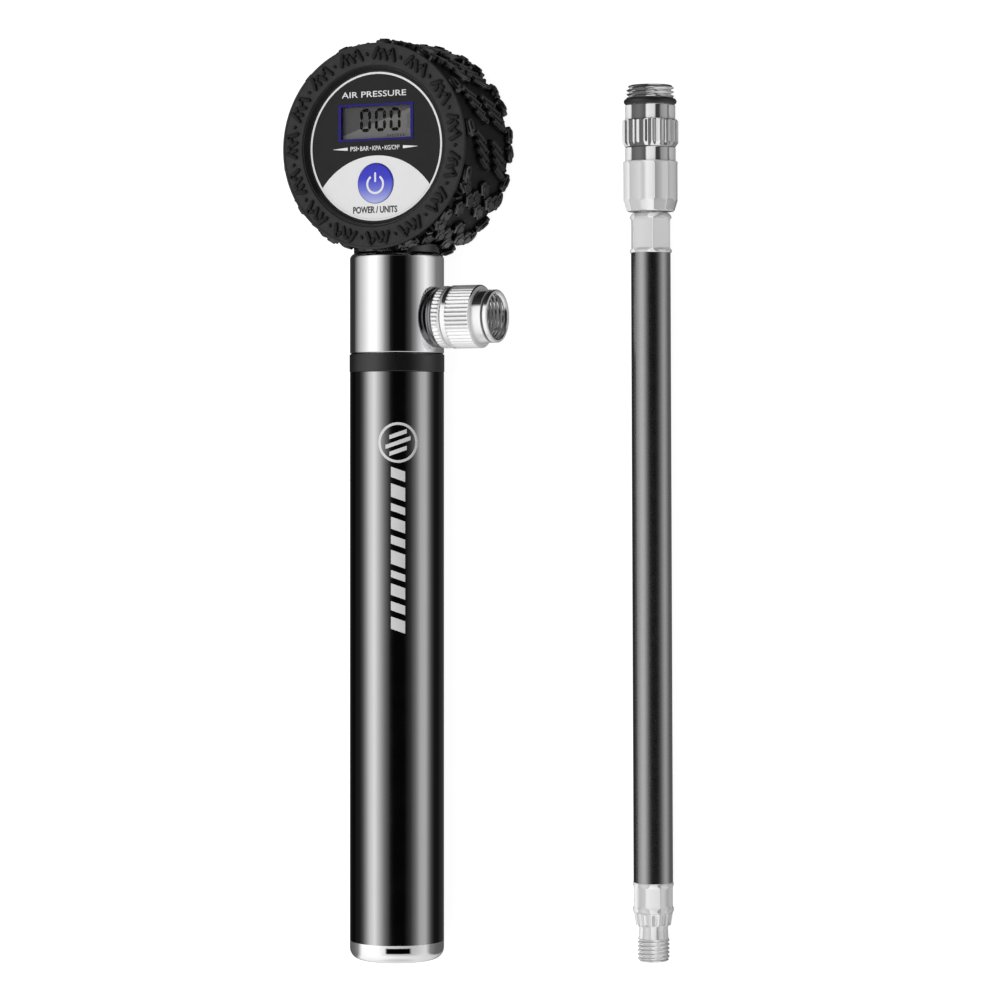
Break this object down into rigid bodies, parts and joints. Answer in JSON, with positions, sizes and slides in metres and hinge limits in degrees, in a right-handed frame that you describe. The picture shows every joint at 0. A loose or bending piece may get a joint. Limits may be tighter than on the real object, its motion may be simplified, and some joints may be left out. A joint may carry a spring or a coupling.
{
  "type": "shock pump",
  "caption": "Slim hand pump with a tyre-clad digital pressure gauge, a side port and a separate screw-on hose, for air shocks and forks.",
  "frame": {"origin": "centre of the gauge's flat back, on the surface that the pump and the hose lie on", "axes": "+Z out of the dial, +Y along the pump's axis from the handle to the gauge, +X out of the side port"},
  "size_m": [0.102, 0.2331, 0.0252],
  "materials": {
    "tyre_rubber": "matte moulded rubber",
    "seal_rubber": "smooth rubber",
    "hose_rubber": "satin smooth rubber",
    "housing_plastic": "fine matte",
    "bezel_plastic": "satin",
    "collar_plastic": "matte",
    "carrier_plastic": "matte",
    "dial_print": "printed satin, dark grey with a pale lower field",
    "button_plastic": "glossy translucent blue",
    "lcd_frame_blue": "glossy",
    "lcd_clear": "clear",
    "lcd_body": "glossy",
    "board": "solder mask",
    "steel": "plain steel",
    "chrome": "bright polished plate",
    "satin_nickel": "bright plate with fine turning marks",
    "dark_metal": "dark plate",
    "gloss_black": "glossy black on aluminium tube",
    "aluminium": "anodised",
    "brass": "plain"
  },
  "bodies": {
    "pump_body": {"tyre_sleeve": "tyre_rubber", "gauge_housing": "housing_plastic", "back_cover": "housing_plastic", "back_cover_screws": "steel", "battery": "steel", "battery_contact": "steel", "circuit_board": "board", "pressure_sensor": "steel", "sensor_seal": "seal_rubber", "lcd_backlight": "carrier_plastic", "lcd_module": "lcd_body", "display_carrier": "carrier_plastic", "dial_plate": "dial_print", "lcd_frame": "lcd_frame_blue", "lcd_glass": "lcd_clear", "bezel_ring": "bezel_plastic", "tact_switch": "steel", "pump_head": "chrome", "check_valve_spring": "steel", "port_base_washer": "dark_metal", "port_lock_ring": "satin_nickel", "port_spigot": "dark_metal", "barrel": "aluminium", "barrel_guide": "housing_plastic"},
    "battery_door": {"battery_door": "housing_plastic"},
    "power_button": {"power_button": "button_plastic"},
    "check_valve": {"check_valve_poppet": "brass"},
    "port_seal": {"port_seal_washer": "seal_rubber"},
    "port_adapter": {"port_adapter": "satin_nickel"},
    "piston": {"piston": "housing_plastic", "piston_seal": "seal_rubber", "piston_bumper": "seal_rubber"},
    "handle": {"handle_sleeve": "gloss_black", "handle_collar": "collar_plastic", "end_cap": "chrome", "piston_rod": "steel", "rod_lock_nut": "steel", "piston_retainer": "steel"},
    "hose": {"hose_stem": "satin_nickel", "hose_port_ferrule": "satin_nickel", "hose_tube": "hose_rubber", "hose_valve_ferrule": "satin_nickel", "hose_valve_fitting": "satin_nickel"},
    "hose_swivel": {"hose_port_fitting": "satin_nickel", "hose_port_oring": "seal_rubber", "hose_grip_ring": "satin_nickel", "hose_swivel_sleeve": "satin_nickel"}
  },
  "joints": [
    {"name": "pump_stroke", "type": "slide", "parent": "pump_body", "child": "piston", "axis": [0, -1, 0], "range_m": [0, 0.115]},
    {"name": "handle_spin", "type": "hinge", "parent": "piston", "child": "handle", "pos_m": [0, -0.13, 0.0121], "axis": [0, 1, 0], "continuous": true},
    {"name": "button_press", "type": "slide", "parent": "pump_body", "child": "power_button", "axis": [0, 0, -1], "range_m": [0, 0.0006], "stiffness_N_per_m": 400, "springref_m": -0.0004},
    {"name": "battery_door_turn", "type": "hinge", "parent": "pump_body", "child": "battery_door", "pos_m": [0, 0, 0], "axis": [0, 0, -1], "range_deg": [0, 60]},
    {"name": "port_adapter_travel", "type": "slide", "parent": "pump_body", "child": "port_seal", "axis": [1, 0, 0], "range_m": [0, 0.004]},
    {"name": "port_adapter_turn", "type": "hinge", "parent": "port_seal", "child": "port_adapter", "pos_m": [0.02, -0.0429, 0.0121], "axis": [1, 0, 0], "range_deg": [0, 1440]},
    {"name": "check_valve_lift", "type": "slide", "parent": "pump_body", "child": "check_valve", "axis": [0, 1, 0], "range_m": [0, 0.0008], "stiffness_N_per_m": 120, "springref_m": -0.001, "deforming": ["check_valve_spring"]},
    {"name": "hose_lift", "type": "slide", "parent": "pump_body", "child": "hose", "axis": [0, 0, 1], "range_m": [0, 0.15]},
    {"name": "hose_swivel_spin", "type": "hinge", "parent": "hose", "child": "hose_swivel", "pos_m": [0.0682, -0.007, 0.00693], "axis": [0, 0.9999, 0.0102], "continuous": true}
  ],
  "couplings": [
    {"joint": "port_adapter_turn", "follows": "port_adapter_travel", "rad_per_m": 6283.2}
  ]
}
